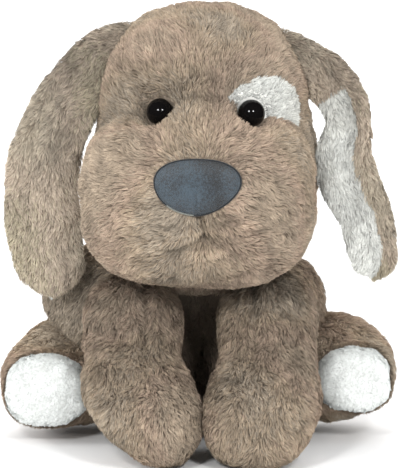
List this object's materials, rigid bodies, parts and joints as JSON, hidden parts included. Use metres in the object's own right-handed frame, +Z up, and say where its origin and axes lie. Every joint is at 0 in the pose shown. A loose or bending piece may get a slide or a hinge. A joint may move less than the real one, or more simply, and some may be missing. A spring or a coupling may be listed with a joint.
{
  "type": "plush dog",
  "caption": "Seated stuffed toy dog with a padded muzzle, long hanging ears, a light patch round one eye and light soles; head, ears, legs and tail flex on their seams.",
  "frame": {"origin": "on the surface that the toy sits on, under the centre of its bounding box", "axes": "+Z up, -Y towards the front where the face looks, +X towards the toy's own left side, which is on the right of someone facing it"},
  "size_m": [0.237, 0.2234, 0.2714],
  "materials": {
    "taupe_plush": "long soft pile in taupe, combed outwards from the nose, backing cloth under it",
    "white_plush": "long soft off-white pile",
    "sole_plush": "short smooth white pile",
    "nose_cloth": "fine slate-blue velour stretched over padding",
    "eye_plastic": "polished black dome",
    "washer_plastic": "moulded natural white",
    "stuffing": "loose polyester fibre filling",
    "pellet_cloth": "plain woven bag holding pellets"
  },
  "bodies": {
    "torso": {"back_panel_right": "taupe_plush", "back_panel_left": "taupe_plush", "belly_panel": "taupe_plush", "seat_panel": "taupe_plush", "torso_stuffing": "stuffing", "pellet_bag": "pellet_cloth"},
    "neck": {"neck_stuffing": "stuffing"},
    "head": {"head_side_right": "taupe_plush", "head_side_left": "taupe_plush", "head_gusset": "taupe_plush", "muzzle_panel": "taupe_plush", "eye_patch": "white_plush", "head_stuffing": "stuffing", "nose_cover": "nose_cloth", "nose_filling": "stuffing", "eye_right": "eye_plastic", "eye_left": "eye_plastic", "eye_washer_right": "washer_plastic", "eye_washer_left": "washer_plastic"},
    "ear_right": {"ear_right_outer": "taupe_plush", "ear_right_lining": "white_plush"},
    "ear_left": {"ear_left_outer": "taupe_plush", "ear_left_lining": "white_plush"},
    "front_leg_right": {"front_leg_right_outer": "taupe_plush", "front_leg_right_inner": "taupe_plush", "front_leg_right_stuffing": "stuffing"},
    "front_leg_left": {"front_leg_left_outer": "taupe_plush", "front_leg_left_inner": "taupe_plush", "front_leg_left_stuffing": "stuffing"},
    "hind_leg_right": {"hind_leg_right_cover": "taupe_plush", "hind_leg_right_sole": "sole_plush", "hind_leg_right_stuffing": "stuffing"},
    "hind_leg_left": {"hind_leg_left_cover": "taupe_plush", "hind_leg_left_sole": "sole_plush", "hind_leg_left_stuffing": "stuffing"},
    "tail": {"tail_cover": "taupe_plush", "tail_stuffing": "stuffing"}
  },
  "joints": [
    {"name": "head_turn", "type": "hinge", "parent": "torso", "child": "neck", "pos_m": [0, -0.00324, 0.126], "axis": [0, 0, 1], "range_deg": [-15, 15], "stiffness_Nm_per_rad": 2},
    {"name": "head_nod", "type": "hinge", "parent": "neck", "child": "head", "pos_m": [0, -0.00324, 0.126], "axis": [1, 0, 0], "range_deg": [-8, 4], "stiffness_Nm_per_rad": 2.5},
    {"name": "ear_right_lift", "type": "hinge", "parent": "head", "child": "ear_right", "pos_m": [-0.058, -0.01924, 0.24], "axis": [0, 1, 0], "range_deg": [0, 75], "stiffness_Nm_per_rad": 0.05},
    {"name": "ear_left_lift", "type": "hinge", "parent": "head", "child": "ear_left", "pos_m": [0.0715, -0.01924, 0.24], "axis": [0, -1, 0], "range_deg": [0, 75], "stiffness_Nm_per_rad": 0.05},
    {"name": "front_leg_right_swing", "type": "hinge", "parent": "torso", "child": "front_leg_right", "pos_m": [-0.042, -0.03124, 0.08], "axis": [-1, 0, 0], "range_deg": [0, 25], "stiffness_Nm_per_rad": 0.4},
    {"name": "front_leg_left_swing", "type": "hinge", "parent": "torso", "child": "front_leg_left", "pos_m": [0.042, -0.03124, 0.08], "axis": [-1, 0, 0], "range_deg": [0, 25], "stiffness_Nm_per_rad": 0.4},
    {"name": "hind_leg_right_lift", "type": "hinge", "parent": "torso", "child": "hind_leg_right", "pos_m": [-0.08, 0.02476, 0.039], "axis": [-1, 0, 0], "range_deg": [0, 20], "stiffness_Nm_per_rad": 0.4},
    {"name": "hind_leg_left_lift", "type": "hinge", "parent": "torso", "child": "hind_leg_left", "pos_m": [0.08, 0.02476, 0.039], "axis": [-1, 0, 0], "range_deg": [0, 20], "stiffness_Nm_per_rad": 0.4},
    {"name": "tail_wag", "type": "hinge", "parent": "torso", "child": "tail", "pos_m": [0, 0.08476, 0.036], "axis": [0, 1, 0], "range_deg": [-35, 35], "stiffness_Nm_per_rad": 0.03}
  ]
}
